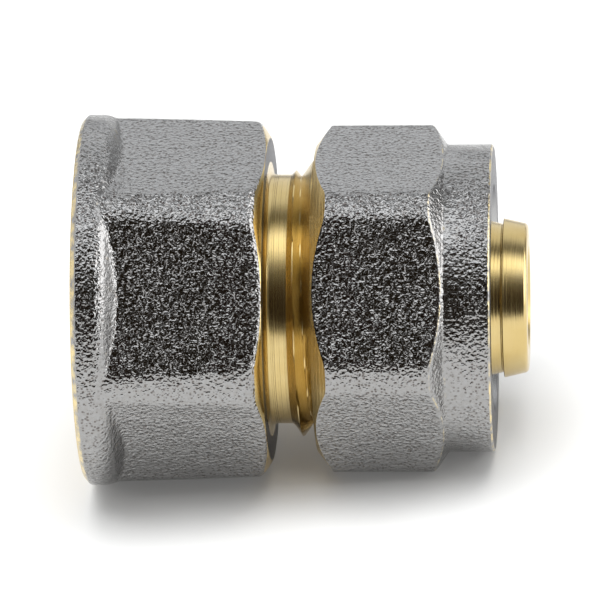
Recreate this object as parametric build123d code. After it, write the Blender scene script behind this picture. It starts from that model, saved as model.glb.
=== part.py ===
from build123d import *
import math
import os

# Screw coupling for heating and water pipes: a brass body with a threaded socket at one end, and at the other
# a nozzle that a plastic-metal pipe is pushed over and a nut that squeezes a split ring on to the pipe.
# The axis lies along X with the nozzle towards +X. Z is up. Millimetres. Places are counted from the socket's
# mouth, and the finished pieces are moved back by half the length, so that the origin is in the middle.
# The coupling lies on one flat of the nut, as it comes to rest on a table.

# Half-inch pipe thread of the socket, the boss and the nut. The solids have it as plain cylinders:
# the socket's wall is at the thread's crests, and the boss and the nut meet at mid-thread.
THREAD_DIAMETER = 20.955
THREAD_DEPTH = 1.162
THREAD_PLAY = 0.1

# Pipe that the coupling grips
PIPE_OUTSIDE = 16.0
PIPE_PLAY = 0.15

# Body: round band at the mouth, a sloping shoulder, then a hexagon with rounded corners that are turned to a
# slight cone
BAND_DIAMETER = 28.1
BAND_LENGTH = 2.18
BAND_EDGE_RADIUS = 1.6
SHOULDER_LENGTH = 1.19
RIM_BEVEL = 0.4
BODY_LENGTH = 14.1
BODY_FLATS = 24.7
BODY_CORNER_RADIUS = 2.9
BODY_CORNERS_AT_BAND = 27.7
BODY_CORNERS_AT_END = 26.9
BODY_END_FACE = 24.6
BODY_END_BEVEL_ANGLE = 58.0  # between the bevel and the axis
BODY_TURN = 1.75  # the body's flats stand this many degrees round from the nut's

# Socket and waterway
SOCKET_DEPTH = 11.0
SOCKET_MOUTH_DIAMETER = 21.8
SOCKET_FLOOR_ANGLE = 75.0  # between the floor and the axis
WATERWAY_DIAMETER = 7.5

# Neck and threaded boss, with the recess that takes the pipe's end
NECK_DIAMETER = 18.86
NECK_LENGTH = 1.9
NECK_RADIUS = 0.5
BOSS_LENGTH = 7.6
BOSS_TIP_BEVEL = 0.4
RECESS_DEPTH = 6.6
RECESS_MOUTH_BEVEL = 0.95
PIPE_STOP_PLAY = 0.02  # around the wall between the socket and the recess

# Nozzle, with barbs that point away from its tip. The nozzle and the pipe stop, the wall that it stands on,
# are solids of their own, so that the ring-shaped space around the nozzle stays open for the pipe.
NOZZLE_DIAMETER = 11.7
NOZZLE_REACH = 10.0  # beyond the boss
BARB_DIAMETER = 12.04
BARB_FOOT_DIAMETER = 11.2
BARB_PITCH = 1.85
BARB_COUNT = 3
NOZZLE_TIP_BEVEL = 0.4

# Seals on the nozzle
O_RING_CORD = 1.4
O_RING_STAND = 0.2  # how far a ring stands out of the nozzle
O_RING_SEAT_GAP = 0.02
O_RING_SIDE_GAP = 0.2
O_RING_FIRST = 3.9  # from the washer to the first ring's middle
O_RING_SPACING = 3.5
O_RING_NAMES = ("inner_o_ring", "outer_o_ring")
WASHER_THICKNESS = 1.0
WASHER_SEAT_DIAMETER = 11.2  # undercut in the nozzle that the washer snaps into
WASHER_PLAY = 0.1

# Nut: hexagon with rounded corners that are turned, and a round collar at the pipe's end
NUT_GAP = 3.55  # from the body's end face
NUT_LENGTH = 13.35
NUT_FLATS = 23.7
NUT_CORNER_RADIUS = 2.9
NUT_CORNERS = 26.28
NUT_END_FACE = 23.3
NUT_END_BEVEL_ANGLE = 52.0  # between the bevel and the axis
NUT_SHOULDER_ANGLE = 55.0  # between the shoulder and the axis
NUT_THREAD_LENGTH = 8.2
NUT_CHAMBER_DIAMETER = 18.8
NUT_HOLE_LENGTH = 1.8
NUT_HOLE_PLAY = 0.25
NUT_HOLE_BEVEL = 0.4
COLLAR_DIAMETER = 23.26
COLLAR_LENGTH = 3.55
COLLAR_EDGE_RADIUS = 0.2

# Split ring, with a cone at each end that the boss and the nut press on
RING_OUTSIDE = 18.2
RING_LENGTH = 4.0
RING_PIPE_PLAY = 0.1
RING_CONE_LENGTH = 0.65
RING_SEAT_GAP = 0.1
RING_SLIT = 1.6
RING_SLIT_TURN = 60.0  # degrees from straight up

# How near a round edge has to be to the place it is looked for
EDGE_MATCH = 0.001

# Places along the axis
boss_start = BODY_LENGTH + NECK_LENGTH
boss_end = boss_start + BOSS_LENGTH
nozzle_end = boss_end + NOZZLE_REACH
recess_floor = boss_end - RECESS_DEPTH
washer_face = recess_floor + WASHER_THICKNESS
nut_start = BODY_LENGTH + NUT_GAP
nut_end = nut_start + NUT_LENGTH
collar_start = nut_end - COLLAR_LENGTH
seat_end = nut_end - NUT_HOLE_LENGTH

# Radii that several pieces share. Cones of 45 degrees lose as much radius as they gain in length.
mid_thread_radius = (THREAD_DIAMETER - THREAD_DEPTH) / 2
crest_radius_in_hole = THREAD_DIAMETER / 2 - THREAD_DEPTH
boss_radius = mid_thread_radius - THREAD_PLAY / 2
nut_bore_radius = mid_thread_radius + THREAD_PLAY / 2
recess_radius = PIPE_OUTSIDE / 2 + PIPE_PLAY
hole_radius = PIPE_OUTSIDE / 2 + NUT_HOLE_PLAY
nozzle_radius = NOZZLE_DIAMETER / 2
washer_seat_radius = WASHER_SEAT_DIAMETER / 2
waterway_radius = WATERWAY_DIAMETER / 2
ring_nose_radius = RING_OUTSIDE / 2 - RING_CONE_LENGTH
o_ring_radius = nozzle_radius + O_RING_STAND - O_RING_CORD / 2
o_ring_places = [washer_face + O_RING_FIRST + i * O_RING_SPACING for i in range(len(O_RING_NAMES))]


def turned(*outline):
    """A closed outline of (along, radius) points, turned about the X axis."""
    return revolve(make_face(Polyline(*outline, close=True)), Axis.X)


def hexagon_bar(across_flats, corner_radius, start, end, turn=0.0):
    """A hexagonal bar along X, with rounded corners and with flats above and below."""
    hexagon = RegularPolygon(across_flats / 2, 6, major_radius=False)
    section = Plane.YZ.offset(start) * fillet(hexagon.vertices(), corner_radius)
    return Rot(X=turn) * extrude(section, end - start)


def slope_length(radius_change, angle):
    """The length along the axis of a cone that stands at this angle to the axis."""
    return abs(radius_change) / math.tan(math.radians(angle))


def circle_edge(solid, along, radius):
    """The round edges of this radius at this place on the axis."""
    found = []
    for edge in solid.edges().filter_by(GeomType.CIRCLE):
        offset = Vector(edge.arc_center.X - along, edge.radius - radius)
        if offset.length < EDGE_MATCH:
            found.append(edge)
    return found


def band():
    """The round end of the body, with the shoulder that runs down to the flats."""
    radius = BAND_DIAMETER / 2
    foot = BAND_LENGTH + SHOULDER_LENGTH
    solid = turned(
        (0, 0),
        (0, radius - RIM_BEVEL),
        (RIM_BEVEL, radius),
        (BAND_LENGTH, radius),
        (foot, BODY_FLATS / 2),
        (foot, 0),
    )
    return fillet(circle_edge(solid, BAND_LENGTH, radius), BAND_EDGE_RADIUS)


def body_hexagon():
    """The spanner flats of the body, with turned corners and a bevelled end."""
    start_radius = BODY_CORNERS_AT_BAND / 2
    end_radius = BODY_CORNERS_AT_END / 2
    face_radius = BODY_END_FACE / 2
    bevel_start = BODY_LENGTH - slope_length(end_radius - face_radius, BODY_END_BEVEL_ANGLE)
    corners = turned(
        (BAND_LENGTH, 0),
        (BAND_LENGTH, start_radius),
        (bevel_start, end_radius),
        (BODY_LENGTH, face_radius),
        (BODY_LENGTH, 0),
    )
    return corners & hexagon_bar(BODY_FLATS, BODY_CORNER_RADIUS, BAND_LENGTH, BODY_LENGTH, BODY_TURN)


def boss():
    """The neck and the plain cylinder of the male thread."""
    return turned(
        (BODY_LENGTH, 0),
        (BODY_LENGTH, NECK_DIAMETER / 2),
        (boss_start, NECK_DIAMETER / 2),
        (boss_start, boss_radius),
        (boss_end - BOSS_TIP_BEVEL, boss_radius),
        (boss_end, boss_radius - BOSS_TIP_BEVEL),
        (boss_end, 0),
    )


def pipe_recess():
    """The space in the boss that takes the pipe stop, the nozzle's foot and the pipe, as a cutter."""
    mouth_radius = recess_radius + RECESS_MOUTH_BEVEL
    return turned(
        (SOCKET_DEPTH, 0),
        (SOCKET_DEPTH, recess_radius),
        (boss_end - RECESS_MOUTH_BEVEL, recess_radius),
        (boss_end, mouth_radius),
        (boss_end, 0),
    )


def nozzle():
    """The nozzle from the recess's floor: washer seat, ring grooves, barbs, then a bevelled tip."""
    groove_radius = o_ring_radius - O_RING_CORD / 2 - O_RING_SEAT_GAP
    half_groove = O_RING_CORD / 2 + O_RING_SIDE_GAP
    barbs_start = nozzle_end - BARB_COUNT * BARB_PITCH
    barb_slope = (BARB_DIAMETER - BARB_FOOT_DIAMETER) / 2 / BARB_PITCH
    outline = [
        (recess_floor, 0),
        (recess_floor, washer_seat_radius),
        (washer_face, washer_seat_radius),
        (washer_face, nozzle_radius),
    ]
    for place in o_ring_places:
        outline += [
            (place - half_groove, nozzle_radius),
            (place - half_groove, groove_radius),
            (place + half_groove, groove_radius),
            (place + half_groove, nozzle_radius),
        ]
    outline.append((barbs_start, nozzle_radius))
    for i in range(BARB_COUNT):
        root = barbs_start + i * BARB_PITCH
        foot = root + BARB_PITCH
        if i == BARB_COUNT - 1:
            foot -= NOZZLE_TIP_BEVEL
        outline += [(root, BARB_DIAMETER / 2), (foot, BARB_DIAMETER / 2 - barb_slope * (foot - root))]
    tip_radius = outline[-1][1] - NOZZLE_TIP_BEVEL
    outline += [(nozzle_end, tip_radius), (nozzle_end, 0)]
    return turned(*outline) - waterway()


def waterway():
    """The threaded socket and the bore through the nozzle, as a cutter."""
    mouth_radius = SOCKET_MOUTH_DIAMETER / 2
    floor_end = SOCKET_DEPTH + slope_length(crest_radius_in_hole - waterway_radius, SOCKET_FLOOR_ANGLE)
    return turned(
        (0, 0),
        (0, mouth_radius),
        (mouth_radius - crest_radius_in_hole, crest_radius_in_hole),
        (SOCKET_DEPTH, crest_radius_in_hole),
        (floor_end, waterway_radius),
        (nozzle_end, waterway_radius),
        (nozzle_end, 0),
    )


def pipe_stop():
    """The wall between the socket and the recess, with the waterway through it."""
    stop_radius = recess_radius - PIPE_STOP_PLAY
    wall = turned(
        (SOCKET_DEPTH, 0),
        (SOCKET_DEPTH, stop_radius),
        (recess_floor, stop_radius),
        (recess_floor, 0),
    )
    return wall - waterway()


def fitting_body():
    solid = band() + body_hexagon() + boss()
    solid = fillet(circle_edge(solid, BODY_LENGTH, NECK_DIAMETER / 2), NECK_RADIUS)
    return solid - pipe_recess() - waterway()


def compression_nut():
    corner_radius = NUT_CORNERS / 2
    face_radius = NUT_END_FACE / 2
    collar_radius = COLLAR_DIAMETER / 2
    blank = turned(
        (nut_start, 0),
        (nut_start, face_radius),
        (nut_start + slope_length(corner_radius - face_radius, NUT_END_BEVEL_ANGLE), corner_radius),
        (collar_start - slope_length(corner_radius - collar_radius, NUT_SHOULDER_ANGLE), corner_radius),
        (collar_start, collar_radius),
        (nut_end, collar_radius),
        (nut_end, 0),
    )
    blank = fillet(circle_edge(blank, nut_end, collar_radius), COLLAR_EDGE_RADIUS)
    entry_radius = SOCKET_MOUTH_DIAMETER / 2
    chamber_radius = NUT_CHAMBER_DIAMETER / 2
    bore = turned(
        (nut_start, 0),
        (nut_start, entry_radius),
        (nut_start + entry_radius - nut_bore_radius, nut_bore_radius),
        (nut_start + NUT_THREAD_LENGTH, nut_bore_radius),
        (nut_start + NUT_THREAD_LENGTH, chamber_radius),
        (seat_end - (chamber_radius - hole_radius), chamber_radius),
        (seat_end, hole_radius),
        (nut_end - NUT_HOLE_BEVEL, hole_radius),
        (nut_end, hole_radius + NUT_HOLE_BEVEL),
        (nut_end, 0),
    )
    return (blank & hexagon_bar(NUT_FLATS, NUT_CORNER_RADIUS, nut_start, nut_end)) - bore


def split_ring():
    """A ring cut through at one side, seated in the nut's cone."""
    inside_radius = PIPE_OUTSIDE / 2 + RING_PIPE_PLAY
    outside_radius = RING_OUTSIDE / 2
    end = seat_end - (ring_nose_radius - hole_radius) - RING_SEAT_GAP
    start = end - RING_LENGTH
    ring = turned(
        (start, inside_radius),
        (start, ring_nose_radius),
        (start + RING_CONE_LENGTH, outside_radius),
        (end - RING_CONE_LENGTH, outside_radius),
        (end, ring_nose_radius),
        (end, inside_radius),
    )
    slit = Pos((start + end) / 2, 0, outside_radius) * Box(RING_LENGTH * 2, RING_SLIT, RING_OUTSIDE / 2)
    return ring - Rot(X=RING_SLIT_TURN) * slit


def o_ring(place):
    return revolve(Pos(place, o_ring_radius) * Circle(O_RING_CORD / 2), Axis.X)


def insulating_washer():
    """The plastic washer that keeps the pipe's metal layer off the brass."""
    inside_radius = washer_seat_radius + WASHER_PLAY
    outside_radius = recess_radius - WASHER_PLAY
    return turned(
        (recess_floor, inside_radius),
        (recess_floor, outside_radius),
        (washer_face, outside_radius),
        (washer_face, inside_radius),
    )


pieces = {
    "fitting_body": fitting_body(),
    "pipe_stop": pipe_stop(),
    "nozzle": nozzle(),
    "compression_nut": compression_nut(),
    "split_ring": split_ring(),
    "insulating_washer": insulating_washer(),
}
for name, place in zip(O_RING_NAMES, o_ring_places):
    pieces[name] = o_ring(place)

os.makedirs("parts", exist_ok=True)
for name, solid in pieces.items():
    export_step(Pos(-nozzle_end / 2, 0, 0) * solid, f"parts/{name}.step")
    print(name, "volume", round(solid.volume, 1), "solids", len(solid.solids()))
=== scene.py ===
# %% [markdown]
# # A screw compression coupling
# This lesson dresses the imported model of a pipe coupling. The body and the nut are brass forgings, blasted with
# shot and plated with nickel. A lathe then cut the ends, the threads and the nozzle, so bare brass shows there.
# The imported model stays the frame: every new piece is made in the same metres and rides on one of its bodies.

# %% Load the frame
import math

import bpy
import numpy as np
from mathutils import Matrix, Vector


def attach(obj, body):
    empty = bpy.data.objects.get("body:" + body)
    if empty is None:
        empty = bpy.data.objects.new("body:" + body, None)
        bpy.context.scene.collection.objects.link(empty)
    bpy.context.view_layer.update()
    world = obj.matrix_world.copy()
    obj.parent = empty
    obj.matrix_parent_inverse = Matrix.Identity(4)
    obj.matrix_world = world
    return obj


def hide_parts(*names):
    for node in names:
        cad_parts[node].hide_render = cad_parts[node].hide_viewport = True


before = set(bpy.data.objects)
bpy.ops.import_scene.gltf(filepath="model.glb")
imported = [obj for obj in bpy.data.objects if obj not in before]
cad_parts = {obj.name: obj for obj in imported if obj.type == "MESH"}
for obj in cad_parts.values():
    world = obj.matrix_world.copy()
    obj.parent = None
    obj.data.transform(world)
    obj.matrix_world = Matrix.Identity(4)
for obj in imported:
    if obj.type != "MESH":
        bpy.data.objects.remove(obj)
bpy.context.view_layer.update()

MM = 0.001
HALF_LENGTH = 16.8  # mm; places below are counted from the socket's mouth, and the origin is in the middle

# %% [markdown]
# ## Colour and nodes
# Colours are written as sRGB hex values, as they would be picked on a screen, and Blender's shaders want linear
# light, so one function turns them. A second function adds a node, sets it and links it in one line.

# %% Colour and node helpers


def linear(code):
    """An sRGB hex value such as #c9a23c as a linear colour with alpha."""
    channels = [int(code[i:i + 2], 16) / 255 for i in (1, 3, 5)]
    return (*[c / 12.92 if c <= 0.04045 else ((c + 0.055) / 1.055) ** 2.4 for c in channels], 1.0)


def add_node(tree, kind, inputs=None, **settings):
    """Adds one node. An input is a value, or the socket that feeds it."""
    made = tree.nodes.new(kind)
    for name, value in settings.items():
        setattr(made, name, value)
    for name, value in (inputs or {}).items():
        if isinstance(value, bpy.types.NodeSocket):
            tree.links.new(value, made.inputs[name])
        else:
            made.inputs[name].default_value = value
    return made


def per_size(millimetres):
    """The texture scale that gives features of this size, since object coordinates are in metres."""
    return 1 / (millimetres * MM)


def start_material(name):
    """An empty material with a Principled shader, and the object coordinates to draw patterns on."""
    material = bpy.data.materials.new(name)
    material.use_nodes = True
    tree = material.node_tree
    tree.nodes.clear()
    shader = add_node(tree, "ShaderNodeBsdfPrincipled")
    add_node(tree, "ShaderNodeOutputMaterial", {"Surface": shader.outputs[0]})
    place = add_node(tree, "ShaderNodeTexCoord").outputs["Object"]
    return material, tree, shader, place


print("white is", linear("#ffffff"))

# %% [markdown]
# ## Shot-blasted nickel plate
# The forging is blasted with shot before it is plated, so its skin is covered with grains about 0.3 mm wide. The thin
# nickel follows them and shines, and each grain shows the eye a bright side and a dark one. The grains are noise used
# as a bump, not geometry, because they are only some hundredths of a millimetre high. Edges are rubbed in handling: an
# attribute on the mesh says where, and also where a painted highlight goes. There the grain is flatter and more matt.

# %% Nickel plate: grain
GRAIN_MM, GRAIN_HEIGHT_MM = 0.29, 0.175
SWELL_MM, SWELL_HEIGHT_MM = 2.6, 0.1  # the forging's own gentle waves
FULLY_RUBBED = 0.5  # from this wear on, the grain is as flat and matt as it gets

nickel, tree, shader, place = start_material("shot_blasted_nickel_plate")
grain = add_node(tree, "ShaderNodeTexNoise", {"Vector": place, "Scale": per_size(GRAIN_MM), "Detail": 1.5})
swell = add_node(tree, "ShaderNodeTexNoise", {"Vector": place, "Scale": per_size(SWELL_MM), "Detail": 1.0})
# The edge wear attribute also places the painted highlight.
wear_and_highlight = add_node(tree, "ShaderNodeAttribute", attribute_name="edge_wear_and_highlight")
rubbed = add_node(
    tree, "ShaderNodeMapRange",
    {"Value": wear_and_highlight.outputs["Fac"], "From Max": FULLY_RUBBED, "To Min": 1.0, "To Max": 0.42},
)
swell_bump = add_node(
    tree, "ShaderNodeBump",
    {"Height": swell.outputs["Fac"], "Strength": 1.0, "Distance": SWELL_HEIGHT_MM * MM},
)
grain_bump = add_node(
    tree, "ShaderNodeBump",
    {
        "Height": grain.outputs["Fac"], "Strength": rubbed.outputs[0],
        "Distance": GRAIN_HEIGHT_MM * MM, "Normal": swell_bump.outputs[0],
    },
)
tree.links.new(grain_bump.outputs[0], shader.inputs["Normal"])
matt = add_node(
    tree, "ShaderNodeMapRange",
    {"Value": wear_and_highlight.outputs["Fac"], "From Max": FULLY_RUBBED, "To Min": 0.1, "To Max": 0.24},
)
tree.links.new(matt.outputs[0], shader.inputs["Roughness"])
shader.inputs["Metallic"].default_value = 1.0
print("made", nickel.name, "with grains of", GRAIN_MM, "mm")

# %% [markdown]
# ## The plate's colour
# Nickel is a grey with a trace of yellow. It is painted lighter on top of the grains and darker in their dents, a
# painted shade. Brown specks are painted shade in the deepest dents. Voronoi cells place them, because cells keep
# their middles apart. On the sharpest edges the plate is so thin that the brass below warms it, in patches, which a
# second noise cuts out of the wear. That cream is paler than the brass: a painted highlight on the rubbed edges.

# %% Nickel plate: colour
PIT_SHADE_MM = 0.3
PATCH_MM = 0.8

pit_shade_cells = add_node(tree, "ShaderNodeTexVoronoi", {"Vector": place, "Scale": per_size(PIT_SHADE_MM)}, feature="F1")
patch = add_node(tree, "ShaderNodeTexNoise", {"Vector": place, "Scale": per_size(PATCH_MM), "Detail": 3.0})
# Painted shade: the grain's tops are lighter and its dents darker, by the same noise as the bump.
tone_with_dent_shade = add_node(
    tree, "ShaderNodeMix",
    {"Factor": grain.outputs["Fac"], "A": linear("#95928f"), "B": linear("#a9aaab")}, data_type="RGBA",
)
# Painted shade: brown specks darken the deepest dents.
pit_shade = add_node(
    tree, "ShaderNodeMapRange",
    {"Value": pit_shade_cells.outputs["Distance"], "From Min": 0.4, "From Max": 0.18, "To Max": 0.7},
)
pit_shade_share = add_node(tree, "ShaderNodeMath", {0: pit_shade.outputs[0], 1: rubbed.outputs[0]}, operation="MULTIPLY")
with_pit_shade = add_node(
    tree, "ShaderNodeMix",
    {"Factor": pit_shade_share.outputs[0], "A": tone_with_dent_shade.outputs["Result"], "B": linear("#3b2a1e")}, data_type="RGBA",
)
# Painted highlight: worn edges turn a cream paler than the brass, on top of the real rubbing.
worn_highlight = add_node(tree, "ShaderNodeMath", {0: wear_and_highlight.outputs["Fac"], 1: patch.outputs["Fac"]}, operation="MULTIPLY")
worn_highlight_share = add_node(
    tree, "ShaderNodeMapRange", {"Value": worn_highlight.outputs[0], "From Min": 0.32, "From Max": 0.55},
)
skin = add_node(
    tree, "ShaderNodeMix",
    {"Factor": worn_highlight_share.outputs[0], "A": with_pit_shade.outputs["Result"], "B": linear("#e6d3a3")}, data_type="RGBA",
)
tree.links.new(skin.outputs["Result"], shader.inputs["Base Color"])
print("coloured", nickel.name, "with specks of", PIT_SHADE_MM, "mm")

# %% [markdown]
# ## Turned brass
# The lathe's tool leaves fine rings around the axis, a few hundredths of a millimetre apart. They are drawn about
# 0.1 mm apart here, because finer ones wouldn't show in the render. One noise along the axis and the radius gives
# rings on cylinders and circles on end faces alike. Brass is yellow because it swallows blue, and a little tarnish
# browns it. Two end faces were cut before the plating, so they have the same rings in grey. Seen almost from the side,
# such a dull face mirrors less than a polished one, which the darker specular tint gives.

# %% Turned metal
RING_MM, RING_HEIGHT_MM = 0.11, 0.02
FACE_SHARE = 0.7  # as many circles on an end face as rings on a cylinder of the same length, times this
STAIN_MM = 2.6


def turned_metal(name, dull, clean):
    """A metal with the lathe's rings, stained between two colours."""
    metal, tree, shader, place = start_material(name)
    parts = add_node(tree, "ShaderNodeSeparateXYZ", {0: place})
    across = add_node(tree, "ShaderNodeCombineXYZ", {"Y": parts.outputs["Y"], "Z": parts.outputs["Z"]})
    radius = add_node(tree, "ShaderNodeVectorMath", {0: across.outputs[0]}, operation="LENGTH")
    along = add_node(
        tree, "ShaderNodeMath", {0: radius.outputs["Value"], 1: FACE_SHARE, 2: parts.outputs["X"]},
        operation="MULTIPLY_ADD",
    )
    rings = add_node(
        tree, "ShaderNodeTexNoise",
        {"W": along.outputs[0], "Scale": per_size(RING_MM), "Detail": 2.0}, noise_dimensions="1D",
    )
    stain = add_node(tree, "ShaderNodeTexNoise", {"Vector": place, "Scale": per_size(STAIN_MM), "Detail": 4.0})
    ring_bump = add_node(
        tree, "ShaderNodeBump",
        {"Height": rings.outputs["Fac"], "Strength": 1.0, "Distance": RING_HEIGHT_MM * MM},
    )
    tree.links.new(ring_bump.outputs[0], shader.inputs["Normal"])
    colour = add_node(
        tree, "ShaderNodeMix",
        {"Factor": stain.outputs["Fac"], "A": linear(dull), "B": linear(clean)}, data_type="RGBA",
    )
    tree.links.new(colour.outputs["Result"], shader.inputs["Base Color"])
    polish = add_node(tree, "ShaderNodeMapRange", {"Value": rings.outputs["Fac"], "To Min": 0.14, "To Max": 0.3})
    tree.links.new(polish.outputs[0], shader.inputs["Roughness"])
    shader.inputs["Metallic"].default_value = 1.0
    print("made", name, "with rings of", RING_MM, "mm")
    return metal, shader


brass, _ = turned_metal("turned_brass", "#c5a966", "#dcc896")
plated_cut, shader = turned_metal("nickel_plate_on_turned_brass", "#aeaeae", "#c4c4c4")
shader.inputs["Specular Tint"].default_value = linear("#7c7c80")

# %% [markdown]
# ## Rubber and PTFE
# The o-rings are moulded EPDM rubber: black, with a soft sheen and a trace of talc. The washer is stamped from PTFE
# sheet, which is white and waxy, with a low IOR, so it hardly shines. Both are hidden inside the nut, so one noise each
# for the cloudy colour and a faint bump is enough.

# %% Seals
TALC_MM = 0.5
CLOUD_MM = 0.9
SKIN_HEIGHT_MM = 0.01

rubber, tree, shader, place = start_material("moulded_epdm_rubber")
talc = add_node(tree, "ShaderNodeTexNoise", {"Vector": place, "Scale": per_size(TALC_MM), "Detail": 3.0})
shade = add_node(
    tree, "ShaderNodeMix",
    {"Factor": talc.outputs["Fac"], "A": linear("#121212"), "B": linear("#2e2d2c")}, data_type="RGBA",
)
tree.links.new(shade.outputs["Result"], shader.inputs["Base Color"])
skin_bump = add_node(tree, "ShaderNodeBump", {"Height": talc.outputs["Fac"], "Distance": SKIN_HEIGHT_MM * MM})
tree.links.new(skin_bump.outputs[0], shader.inputs["Normal"])
shader.inputs["Roughness"].default_value = 0.5

ptfe, tree, shader, place = start_material("stamped_ptfe_sheet")
cloud = add_node(tree, "ShaderNodeTexNoise", {"Vector": place, "Scale": per_size(CLOUD_MM), "Detail": 2.0})
milk = add_node(
    tree, "ShaderNodeMix",
    {"Factor": cloud.outputs["Fac"], "A": linear("#e2dfd6"), "B": linear("#f4f2ec")}, data_type="RGBA",
)
tree.links.new(milk.outputs["Result"], shader.inputs["Base Color"])
wax_bump = add_node(tree, "ShaderNodeBump", {"Height": cloud.outputs["Fac"], "Distance": SKIN_HEIGHT_MM * MM})
tree.links.new(wax_bump.outputs[0], shader.inputs["Normal"])
shader.inputs["Roughness"].default_value = 0.38
shader.inputs["IOR"].default_value = 1.35
print("made", rubber.name, "and", ptfe.name)

# %% [markdown]
# ## Heights around the axis
# A hexagon with rounded corners is a radius that changes with the angle. Two such radii, for example a flat and a
# bevel, meet in an edge. Forged edges are rounded, so a soft minimum or maximum joins the two over a small width.

# %% Radius helpers
SECTOR = 60  # degrees from flat to flat


def soft_min(a, b, width):
    """The smaller of two heights, with the edge between them rounded over this width."""
    near = np.maximum(width - np.abs(a - b), 0) / width
    return np.minimum(a, b) - near * near * width / 4


def soft_max(a, b, width):
    """The larger of two heights, with the hollow between them filled over this width."""
    return -soft_min(-np.asarray(a), -np.asarray(b), width)


def columns(turn):
    """Angles around the axis, closer together near a hexagon's corners. A flat's middle is at 90 degrees plus turn."""
    half = np.concatenate([np.linspace(0, 21, 11), np.linspace(21, 28.5, 12)[1:], np.linspace(28.5, 30, 4)[1:]])
    sector = np.concatenate([-half[:0:-1], half[:-1]])
    return np.concatenate([90 + turn + SECTOR * k + sector for k in range(6)])


def from_flat(angles, turn):
    """How far each angle is from the middle of its flat, in radians."""
    return np.radians((angles - 90 - turn + SECTOR / 2) % SECTOR - SECTOR / 2)


def hexagon(off_flat, flat, corner_round):
    """The radius of a hexagon with rounded corners."""
    centre = (flat - corner_round) / math.cos(math.pi / 6)
    off_corner = math.pi / 6 - np.abs(off_flat)
    arc = centre * np.cos(off_corner) + np.sqrt(corner_round ** 2 - (centre * np.sin(off_corner)) ** 2)
    tangent = math.atan((flat - corner_round) * math.tan(math.pi / 6) / flat)
    return np.where(np.abs(off_flat) < tangent, flat / np.cos(off_flat), arc)


def meeting(high, low, start, end):
    """For each column, the place between start and end where a falling height meets another."""
    start, end = np.array(start, float), np.array(end, float)
    for _ in range(40):
        middle = (start + end) / 2
        above = high(middle) > low(middle)
        start = np.where(above, middle, start)
        end = np.where(above, end, middle)
    return (start + end) / 2


print(len(columns(0)), "columns around the axis")

# %% [markdown]
# ## Round pieces from loops
# A turned piece is a row of loops around the axis. Each loop has a place on the axis and a radius, and both may change
# around the loop, which is how a hexagon, a bevel's scalloped edge or a screw thread comes out of the same tool. The
# last loop joins the first, so the piece is closed. Each strip between two loops has a finish: nickel or brass.

# %% Loops
NICKEL, BRASS, PLATED_CUT = 0, 1, 2
SHARP_ANGLE = math.radians(28)


class Loops:
    """The loops of one closed round piece, in millimetres."""

    def __init__(self, angles):
        self.angles = np.radians(angles)
        self.rows = []

    def add(self, place, radius, finish, wear_and_highlight=0.0):
        """One loop. The finish is that of the strip that starts here."""
        full = np.ones_like(self.angles)
        self.rows.append((place * full, radius * full, finish, wear_and_highlight * full))

    def path(self, points, finish):
        """Straight loops through (place, radius) points."""
        for place, radius in points:
            self.add(place, radius, finish)

    def build(self, name):
        """The mesh object, with the finishes in its slots."""
        place = np.array([row[0] for row in self.rows]) - HALF_LENGTH
        radius = np.array([row[1] for row in self.rows])
        spots = np.stack([place, radius * np.cos(self.angles), radius * np.sin(self.angles)], axis=-1) * MM
        rows, count = place.shape
        here = np.arange(rows * count).reshape(rows, count)
        down = np.roll(here, -1, axis=0)
        corners = [here, np.roll(here, -1, axis=1), np.roll(down, -1, axis=1), down]
        quads = np.stack(corners, axis=-1).reshape(-1, 4)
        mesh = bpy.data.meshes.new(name)
        mesh.from_pydata(spots.reshape(-1, 3), [], quads)
        finishes = np.repeat([row[2] for row in self.rows], count).astype(np.int32)
        mesh.polygons.foreach_set("material_index", finishes)
        wear_and_highlight_values = np.array([row[3] for row in self.rows], dtype=np.float32).ravel()
        mesh.attributes.new("edge_wear_and_highlight", "FLOAT", "POINT").data.foreach_set("value", wear_and_highlight_values)
        mesh.shade_smooth()
        mesh.set_sharp_from_angle(angle=SHARP_ANGLE)
        for finish in (nickel, brass, plated_cut):
            mesh.materials.append(finish)
        mesh.update()
        made = bpy.data.objects.new(name, mesh)
        bpy.context.scene.collection.objects.link(made)
        print("made", name, "with", len(quads), "faces")
        return made


print("finishes", nickel.name, brass.name, plated_cut.name)

# %% [markdown]
# ## The pipe thread
# A half-inch pipe thread climbs 1.814 mm a turn and is 1.162 mm deep, with rounded crests and roots. It is
# right-handed: going round from +Y to +Z, it moves towards +X. The same wave gives the boss, the nut and the socket, so
# the nut's thread lies in the boss's thread at rest, and stays there as it turns and slides together.

# %% Thread wave
PITCH = 1.814
MID_THREAD = 9.8965
HALF_DEPTH = 0.581
THREAD_CREST = 9.3155  # of an inner thread, which is the outer thread's root
THREAD_SHARPNESS = 0.99
CREST_PLACE, CREST_ANGLE = 16.45, 242.0  # where a crest passes the lower outline in the photograph's view


def thread_radius(place, angles):
    """The thread's radius at a place, for each angle in radians."""
    turns = (place - CREST_PLACE) / PITCH - (angles - math.radians(CREST_ANGLE)) / (2 * math.pi)
    wave = np.arcsin(THREAD_SHARPNESS * np.cos(2 * math.pi * turns)) / math.asin(THREAD_SHARPNESS)
    return MID_THREAD + HALF_DEPTH * wave


print("thread from", MID_THREAD - HALF_DEPTH, "to", MID_THREAD + HALF_DEPTH, "mm radius")

# %% [markdown]
# ## The body's outside
# The forging has a round band at its mouth, a shoulder that slopes down to six flats, and corners turned to a slight
# cone. The lathe bevelled its end, so each flat ends in a shallow curve. A cylinder cut by a hexagon would leave long
# thin triangles along those curves. Loops follow them exactly instead: for every angle the script finds where the
# shoulder meets the flat and where the bevel meets it, and puts a loop there.

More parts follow.
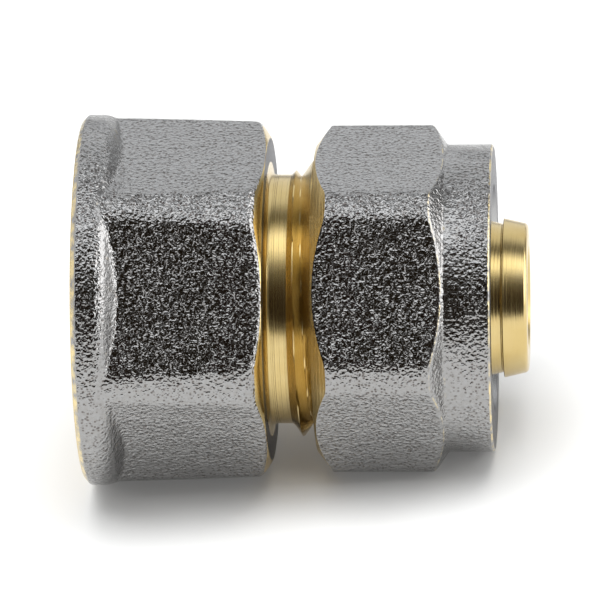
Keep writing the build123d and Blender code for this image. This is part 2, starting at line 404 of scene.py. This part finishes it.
# %% Body heights
BODY_TURN = 1.75  # degrees from the nut's flats
BODY_FLAT, BODY_CORNER, CORNER_FALL = 12.35, 13.85, 0.4
CORNER_ROUND = 2.9
BODY_END = 14.1
BAND_RADIUS, BAND_END, BAND_ROUND = 14.05, 2.18, 1.6
SHOULDER_ANGLE = math.radians(55)
BEVEL_FACE = 12.3
BEVEL_SLOPE = math.tan(math.radians(58))
BEVEL_ROUND = 0.6
FORGED_EDGE = 0.16

body_angles = columns(BODY_TURN)
off_flat = from_flat(body_angles, BODY_TURN)
every_column = np.ones_like(off_flat)


def body_side(place):
    """Flats and turned corners of the body."""
    corner = BODY_CORNER - CORNER_FALL * (place - BAND_END) / (BODY_END - BAND_END)
    return soft_min(hexagon(off_flat, BODY_FLAT, CORNER_ROUND), corner, FORGED_EDGE)


def shoulder(place):
    """The band, rounded over into the shoulder's slope."""
    start = BAND_END - BAND_ROUND * math.tan(SHOULDER_ANGLE / 2)
    end = start + BAND_ROUND * math.sin(SHOULDER_ANGLE)
    over = np.clip(place, start, end) - start
    arc = BAND_RADIUS - BAND_ROUND + np.sqrt(BAND_ROUND ** 2 - over ** 2)
    return arc - math.tan(SHOULDER_ANGLE) * np.maximum(place - end, 0)


def end_bevel(place):
    """The bevel that the lathe cut at the end of the flats."""
    return BEVEL_FACE + BEVEL_SLOPE * (BODY_END - place)


foot = meeting(shoulder, body_side, 1.5 * every_column, 4.2 * every_column)
bevel_edge = meeting(end_bevel, body_side, 12.0 * every_column, BODY_END * every_column)
print("shoulder ends at", foot.min().round(2), "to", foot.max().round(2), "mm")

# %% [markdown]
# ## Band, shoulder, flats and bevel
# Now the loops go from the mouth's turned face over the band and along the flats to the bevel. Wear is highest on the
# rim, where the plate is rubbed to a pale gold, painted paler than brass as a highlight, and the shoulder's slope is
# smoother than the skin around it. The bevel was cut after plating, so it shows brass.

# %% Body outside
MOUTH_FACE = [(0, 12.3), (0, 13.62)]
# The third value is the wear, which also places the painted highlight.
RIM = [(0.06, 13.7, 1.0), (0.33, 13.99, 0.8)]  # place, radius and wear
SHOULDER_START = 1.2
HOLLOW = 0.3
NEAR_FOOT, NEAR_BEVEL = (0.012, 0.03, 0.06), (0.935, 0.96, 0.975, 0.99)

body = Loops(body_angles)
body.path(MOUTH_FACE, BRASS)
for place, radius, rubbing_and_highlight in RIM:
    body.add(place, radius, NICKEL, rubbing_and_highlight)
body.path([(0.44, BAND_RADIUS), (0.9, BAND_RADIUS)], NICKEL)
for share in np.linspace(0, 1, 20):
    place = SHOULDER_START + (foot - SHOULDER_START) * share
    rubbing_and_highlight = 0.5 * min(1, max(0, 6 * share - 2.9), 8 * (1 - share))
    body.add(place, soft_max(shoulder(place), body_side(place), HOLLOW), NICKEL, rubbing_and_highlight)
for share in (*NEAR_FOOT, *np.linspace(0.1, 0.9, 17), *NEAR_BEVEL):
    place = foot + (bevel_edge - foot) * share
    side = soft_min(body_side(place), end_bevel(place), BEVEL_ROUND)
    body.add(place, soft_max(shoulder(place), side, HOLLOW), NICKEL, 0.2 if share > 0.98 else 0)
body.add(bevel_edge, soft_min(body_side(bevel_edge), end_bevel(bevel_edge), BEVEL_ROUND), NICKEL, 0.5)
for share, finish in ((0.1, NICKEL), (0.25, BRASS), (0.5, BRASS), (0.96, BRASS)):
    place = bevel_edge + (BODY_END - bevel_edge) * share
    body.add(place, soft_min(body_side(place), end_bevel(place), BEVEL_ROUND), finish)
body.add(BODY_END, BEVEL_FACE - 0.1, PLATED_CUT)
print("outside in", len(body.rows), "loops")

# %% [markdown]
# ## Neck and boss
# A lathe cut the neck with a small fillet at the body's end face, then the thread, which rises out of the neck in less
# than a millimetre and ends in a chamfer. Inside the boss is a recess, and the pipe's end goes into it.

# %% Neck and boss
NECK, NECK_FILLET = 9.43, 0.5
BOSS_START, BOSS_END, BOSS_TIP = 15.75, 23.6, 9.25
BOSS_STEP = PITCH / 20
RECESS, RECESS_FLOOR, STOP_PLACE = 8.15, 17.0, 18.0
NOZZLE_ROOT, NOZZLE = 5.6, 5.85

body.path([(BODY_END, 10.4), (BODY_END, NECK + NECK_FILLET)], BRASS)
for turn in np.radians([15, 30, 45, 60, 75, 90]):
    place = BODY_END + NECK_FILLET * (1 - math.cos(turn))
    body.add(place, NECK + NECK_FILLET * (1 - math.sin(turn)), BRASS)
body.path([(15.2, NECK), (15.65, NECK)], BRASS)
for place in np.arange(BOSS_START, BOSS_END, BOSS_STEP):
    climb = place - BOSS_START
    run_in = NECK + 0.9 * climb + 0.6 * climb ** 2 + 0.02
    tip = BOSS_TIP + BOSS_END - place
    wave = np.minimum(thread_radius(place, body.angles), tip)
    body.add(place, soft_min(wave, run_in + 0 * wave, 0.08), BRASS)
body.path([(BOSS_END, 9.22), (BOSS_END, 9.1), (22.65, RECESS), (RECESS_FLOOR, RECESS)], BRASS)
body.path([(RECESS_FLOOR, NOZZLE_ROOT), (STOP_PLACE, NOZZLE_ROOT), (STOP_PLACE, NOZZLE)], BRASS)
print("with the boss in", len(body.rows), "loops")

# %% [markdown]
# ## Nozzle and socket
# The pipe is pushed over the nozzle: two grooves hold the o-rings, three barbs hold the pipe, and the tip is rounded.
# Each barb is a step and a gentle fall. From the tip the loops go back through the waterway's bore and out through the
# socket, whose thread is the same wave as the boss's, fading out before its floor. There the piece closes on itself.

# %% Nozzle and socket
GROOVES, GROOVE_HALF, GROOVE_BOTTOM, GROOVE_CHAMFER = (21.9, 25.4), 0.9, 4.63, 0.05
BARBS, BARB_PITCH, BARB_TOP, BARB_FALL = 3, 1.85, 6.02, 0.227
NOZZLE_END, TIP_ROUND, BORE = 33.6, 0.4, 3.75
SOCKET_FLOOR, SOCKET_LAST, SOCKET_CHAMFER = 10.9, 0.05, 10.9
FADE_END, FADE_LENGTH = 10.4, 0.6
INNER_STEP = PITCH / 16

for groove in GROOVES:
    for side in (-1, 1):
        wall = groove + side * GROOVE_HALF
        lip = [(wall + side * GROOVE_CHAMFER, NOZZLE), (wall, NOZZLE - GROOVE_CHAMFER), (wall, GROOVE_BOTTOM)]
        body.path(lip[::-side], BRASS)
body.path([(NOZZLE_END - BARBS * BARB_PITCH, NOZZLE)], BRASS)
for barb in range(BARBS):
    root = NOZZLE_END - (BARBS - barb) * BARB_PITCH
    run = BARB_PITCH - TIP_ROUND if barb == BARBS - 1 else BARB_PITCH
    body.path([(root, BARB_TOP - 0.04), (root + 0.04, BARB_TOP), (root + run, BARB_TOP - BARB_FALL * run)], BRASS)
tip_radius = BARB_TOP - BARB_FALL * (BARB_PITCH - TIP_ROUND)
for turn in np.radians([22, 45, 67, 90]):
    place = NOZZLE_END - TIP_ROUND + TIP_ROUND * math.sin(turn)
    body.add(place, tip_radius - TIP_ROUND + TIP_ROUND * math.cos(turn), BRASS)
body.path([(NOZZLE_END, 4.0), (33.4, BORE), (12.4908, BORE), (11.0, THREAD_CREST)], BRASS)
for place in np.arange(SOCKET_FLOOR, SOCKET_LAST, -INNER_STEP):
    fade = np.clip((FADE_END - place) / FADE_LENGTH, 0, 1)
    wave = THREAD_CREST + fade * (thread_radius(place, body.angles) - THREAD_CREST)
    body.add(place, np.maximum(wave, SOCKET_CHAMFER - place), BRASS)
body.path([(0, SOCKET_CHAMFER)], BRASS)
body_piece = body.build("nickel_plated_body")
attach(body_piece, "fitting")
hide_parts("fitting_body", "pipe_stop", "nozzle")

# %% [markdown]
# ## The nut's outside
# The nut is a shorter forging with a round collar. Its face towards the body was bevelled on the lathe and shows
# brass. At the other end a forged cone runs down to the collar. Its upper edge is rounded, rubbed and given a painted
# highlight in pale cream; its foot is crisp and a little smoother than the grain around it.

# %% Nut outside
NUT_START, NUT_END = 17.65, 31.0
NUT_FLAT, NUT_CORNER, NUT_FACE = 11.85, 13.14, 11.65
COLLAR, COLLAR_START, COLLAR_ROUND = 11.63, 27.53, 0.2
CONE_END, BACK_ROUND, BACK_HOLLOW = 27.75, 0.32, 0.15
FRONT_SLOPE = math.tan(math.radians(52))
BACK_SLOPE = math.tan(math.radians(55))
NUT_CHAMFER = 10.9
NEAR_FRONT, NEAR_BACK = (0.01, 0.03, 0.06), (0.94, 0.97, 0.985, 0.994)

nut_angles = columns(0)
nut = Loops(nut_angles)
nut_side = soft_min(hexagon(from_flat(nut_angles, 0), NUT_FLAT, CORNER_ROUND), NUT_CORNER, FORGED_EDGE)
every_column = np.ones_like(nut_side)


def nut_back(place):
    """The cone at the back of the flats, and the collar it ends at."""
    return soft_max(COLLAR + BACK_SLOPE * (COLLAR_START - place), COLLAR + 0 * place, BACK_HOLLOW)


front_edge = NUT_START + (nut_side - NUT_FACE) / FRONT_SLOPE
back_edge = meeting(nut_back, lambda place: nut_side, 25.5 * every_column, 27.9 * every_column)

nut.path([(NUT_START, NUT_CHAMFER), (NUT_START, NUT_FACE)], BRASS)
for share in (0.05, 0.5, 0.95):
    place = NUT_START + (front_edge - NUT_START) * share
    nut.add(place, NUT_FACE + FRONT_SLOPE * (place - NUT_START), BRASS)
nut.add(front_edge, nut_side, NICKEL, 0.7)
for share in (*NEAR_FRONT, *np.linspace(0.1, 0.9, 13), *NEAR_BACK):
    place = front_edge + (back_edge - front_edge) * share
    rubbing_and_highlight = max(0, 0.8 - 25 * (1 - share))
    nut.add(place, soft_min(nut_side, nut_back(place), BACK_ROUND), NICKEL, rubbing_and_highlight)
nut.add(back_edge, soft_min(nut_side, nut_back(back_edge), BACK_ROUND), NICKEL, 0.8)
for share in (0.03, 0.08, 0.15, *np.linspace(0.25, 1, 9)):
    place = back_edge + (CONE_END - back_edge) * share
    rubbing_and_highlight = max(0.8 - 3 * share, 0.6 - 1.5 * abs(share - 0.85), 0.22)
    nut.add(place, soft_min(nut_side, nut_back(place), BACK_ROUND), NICKEL, rubbing_and_highlight)
nut.path([(29.3, COLLAR), (NUT_END - COLLAR_ROUND, COLLAR)], NICKEL)
for turn in np.radians([20, 40, 60, 80]):
    place = NUT_END - COLLAR_ROUND * (1 - math.sin(turn))
    nut.add(place, COLLAR - COLLAR_ROUND * (1 - math.cos(turn)), NICKEL, 0.9)
print("outside in", len(nut.rows), "loops")

# %% [markdown]
# ## The nut's inside
# The pipe comes in through the hole in the end face. Behind it, a cone squeezes the split ring, and then the thread
# begins. It is the boss's own wave with a little play, so the two stay in step.

# %% Nut inside
HOLE = 8.25
RING_ROOM = 9.4
THREAD_START, THREAD_FADE = 25.85, 0.35
NUT_PLAY = 0.08

nut.path([(NUT_END, COLLAR - COLLAR_ROUND), (NUT_END, 8.65)], PLATED_CUT)
nut.path([(30.6, HOLE), (29.2, HOLE), (28.05, RING_ROOM), (THREAD_START, RING_ROOM)], BRASS)
for place in np.arange(25.8, NUT_START + 0.05, -INNER_STEP):
    fade = np.clip((THREAD_START - place) / THREAD_FADE, 0, 1)
    wave = RING_ROOM + fade * (thread_radius(place, nut.angles) + NUT_PLAY - RING_ROOM)
    nut.add(place, np.maximum(wave, NUT_CHAMFER - (place - NUT_START)), BRASS)
nut_piece = nut.build("nickel_plated_nut")
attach(nut_piece, "nut")
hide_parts("compression_nut")

# %% [markdown]
# ## Ring and seals
# The split ring, the o-rings and the washer sit inside the nut. Their solids already have the real shapes, so they
# keep them and only take their finishes.

# %% Inner pieces
inner_finish = {
    "split_ring": brass, "inner_o_ring": rubber, "outer_o_ring": rubber, "insulating_washer": ptfe,
}
for node, finish in inner_finish.items():
    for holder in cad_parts[node].material_slots:
        holder.material = finish
    print(node, "takes", finish.name)

# %% [markdown]
# ## Table
# The coupling lies on a photographer's table of opal acrylic, which is lit a little from within. It rests on the
# band's rim and on the nut's lowest flat, which are at different heights below the axis, so the table is level in the
# room and about five degrees off the coupling's axis. Far to the front and to the back the table is painted greyer,
# as painted shade, and the lower flats of the metal mirror that.

# %% Floor
FLOOR_HALF = 1.5  # metres
WHITE_TO, GREY_FROM = 0.1, 0.22  # metres to the front and the back

contact_band = Vector((1.45 - HALF_LENGTH, 0, -BAND_RADIUS)) * MM
contact_nut = Vector((27.3 - HALF_LENGTH, 0, -NUT_FLAT)) * MM
slope = math.atan2(contact_nut.z - contact_band.z, contact_nut.x - contact_band.x)
floor_mesh = bpy.data.meshes.new("table_top")
floor_corners = [(x * FLOOR_HALF, y * FLOOR_HALF, 0) for x, y in ((-1, -1), (1, -1), (1, 1), (-1, 1))]
floor_mesh.from_pydata(floor_corners, [], [(0, 1, 2, 3)])
floor = bpy.data.objects.new("table_top", floor_mesh)
floor.matrix_world = Matrix.Translation(contact_band) @ Matrix.Rotation(-slope, 4, "Y")
bpy.context.scene.collection.objects.link(floor)

opal, tree, shader, place = start_material("lit_opal_acrylic")
across = add_node(tree, "ShaderNodeSeparateXYZ", {0: place})
reach = add_node(tree, "ShaderNodeMath", {0: across.outputs["Y"]}, operation="ABSOLUTE")
# Painted shade: the table turns grey far to the front and to the back.
far_shade_mask = add_node(
    tree, "ShaderNodeMapRange", {"Value": reach.outputs[0], "From Min": WHITE_TO, "From Max": GREY_FROM},
    interpolation_type="SMOOTHSTEP",
)
white = add_node(
    tree, "ShaderNodeMix",
    {"Factor": far_shade_mask.outputs[0], "A": linear("#dddddc"), "B": linear("#6a6a6a")}, data_type="RGBA",
)
tree.links.new(white.outputs["Result"], shader.inputs["Base Color"])
tree.links.new(white.outputs["Result"], shader.inputs["Emission Color"])
shader.inputs["Roughness"].default_value = 0.9
shader.inputs["Specular IOR Level"].default_value = 0.1
shader.inputs["Emission Strength"].default_value = 0.12
floor_mesh.materials.append(opal)
print("table tilted", round(math.degrees(slope), 2), "degrees")

# %% [markdown]
# ## Camera
# A long lens far away gives the photograph's flat perspective. The camera is a little towards the nozzle's side and
# about 28 degrees above the axis. Its frame is turned by two degrees so that the axis runs level in the picture.

# %% Camera
AZIMUTH = math.radians(3.96)
ELEVATION = math.radians(27.85)
DISTANCE = 523 * MM
ROLL = math.radians(2.12)
VIEW_ANGLE = math.radians(4.98)
AIM = Vector((-0.55, 0, -0.11)) * MM

toward = Vector((
    math.sin(AZIMUTH) * math.cos(ELEVATION), -math.cos(AZIMUTH) * math.cos(ELEVATION), math.sin(ELEVATION),
))
level = Vector((math.cos(AZIMUTH), math.sin(AZIMUTH), 0))
above = toward.cross(level)
right = level * math.cos(ROLL) - above * math.sin(ROLL)
up = toward.cross(right)
spot = AIM + toward * DISTANCE
lens = bpy.data.cameras.new("camera")
lens.angle = VIEW_ANGLE
lens.clip_start = 0.01
camera = bpy.data.objects.new("camera", lens)
camera.matrix_world = Matrix((
    (right.x, up.x, toward.x, spot.x),
    (right.y, up.y, toward.y, spot.y),
    (right.z, up.z, toward.z, spot.z),
    (0, 0, 0, 1),
))
bpy.context.scene.collection.objects.link(camera)
bpy.context.scene.camera = camera
print("camera at", [round(v, 3) for v in spot])

# %% [markdown]
# ## The room
# Metal shows the room. A bright strip overhead gives the light dots on the grain, a white wall at the back gives the
# pale flats, and the dark half of the studio, behind the camera, gives the dark flat in the middle. One ramp draws all
# of that, by the angle around the coupling's axis. Walls close the room to the left and the right.

# %% Room
ARCH = (  # degrees from the front over the top to the back, brightness, warmth
    (0, 0.012, 0.5), (22, 0.015, 0.5), (30, 0.025, 0.4), (37, 0.045, 0.25), (44, 0.08, 0.1), (52, 0.16, 0),
    (60, 0.4, 0), (67, 1.05, -0.02), (74, 1.95, -0.02), (86, 2.1, -0.02), (92, 1.6, -0.02), (98, 0.6, -0.02),
    (103, 0.22, 0), (109, 0.12, 0), (116, 0.24, 0), (125, 0.72, -0.02), (134, 1.02, -0.02), (148, 1.03, -0.02),
    (172, 1.03, -0.02),
)
LEFT_WALL, RIGHT_WALL = 1.0, 0.17
WALL_FROM, WALL_TO = 0.5, 0.7  # how far a direction points sideways where a wall begins, and where it is full

world = bpy.data.worlds.new("studio")
bpy.context.scene.world = world
world.use_nodes = True
tree = world.node_tree
tree.nodes.clear()
direction = add_node(tree, "ShaderNodeTexCoord").outputs["Generated"]
parts = add_node(tree, "ShaderNodeSeparateXYZ", {0: direction})
forward = add_node(tree, "ShaderNodeMath", {0: parts.outputs["Y"], 1: -1.0}, operation="MULTIPLY")
climb = add_node(tree, "ShaderNodeMath", {0: parts.outputs["Z"], 1: forward.outputs[0]}, operation="ARCTAN2")
share = add_node(tree, "ShaderNodeMapRange", {"Value": climb.outputs[0], "From Max": math.pi})
arch = add_node(tree, "ShaderNodeValToRGB", {"Fac": share.outputs[0]})
for degrees, brightness, warmth in ARCH:
    stop = arch.color_ramp.elements.new(degrees / 180)
    stop.color = (brightness * (1 + warmth), brightness, brightness * (1 - warmth), 1)
arch.color_ramp.elements.remove(arch.color_ramp.elements[0])
arch.color_ramp.elements.remove(arch.color_ramp.elements[-1])
walls = arch.outputs["Color"]
for side, wall in ((1, RIGHT_WALL), (-1, LEFT_WALL)):
    sideways = add_node(
        tree, "ShaderNodeMapRange",
        {"Value": parts.outputs["X"], "From Min": side * WALL_FROM, "From Max": side * WALL_TO},
        interpolation_type="SMOOTHSTEP",
    )
    walls = add_node(
        tree, "ShaderNodeMix",
        {"Factor": sideways.outputs[0], "A": walls, "B": (wall, wall, wall, 1)}, data_type="RGBA",
    ).outputs["Result"]
room = add_node(tree, "ShaderNodeBackground", {"Color": walls})
add_node(tree, "ShaderNodeOutputWorld", {"Surface": room.outputs[0]})
print("room with", len(ARCH), "steps of light and two walls")

# %% [markdown]
# ## Lamps
# A softbox on the right is seen in the metal as the white line along the shoulder. A lamp overhead lights the table
# and casts the soft shadow. Its picture in the metal isn't wanted, so glossy rays don't see it.

# %% Lamps


def softbox(name, spot, width, height, power, mirrored):
    """A lamp at a spot in metres, turned to face the coupling. Its own picture in the metal is wanted or not."""
    lamp = bpy.data.lights.new(name, "AREA")
    lamp.shape = "RECTANGLE"
    lamp.size, lamp.size_y = width, height
    lamp.energy = power
    made = bpy.data.objects.new(name, lamp)
    made.location = spot
    made.visible_camera = False
    made.visible_glossy = mirrored
    made.rotation_euler = (-Vector(spot)).to_track_quat("-Z", "Y").to_euler()
    bpy.context.scene.collection.objects.link(made)
    print("lit by", name, "with", power, "W")


softbox("right_softbox", (0.95, 0, 0.3), 0.95, 0.9, 7.2, True)
softbox("table_lamp", (-0.05, -0.14, 0.65), 0.5, 0.5, 4.4, False)
bpy.context.scene.view_settings.view_transform = "Standard"
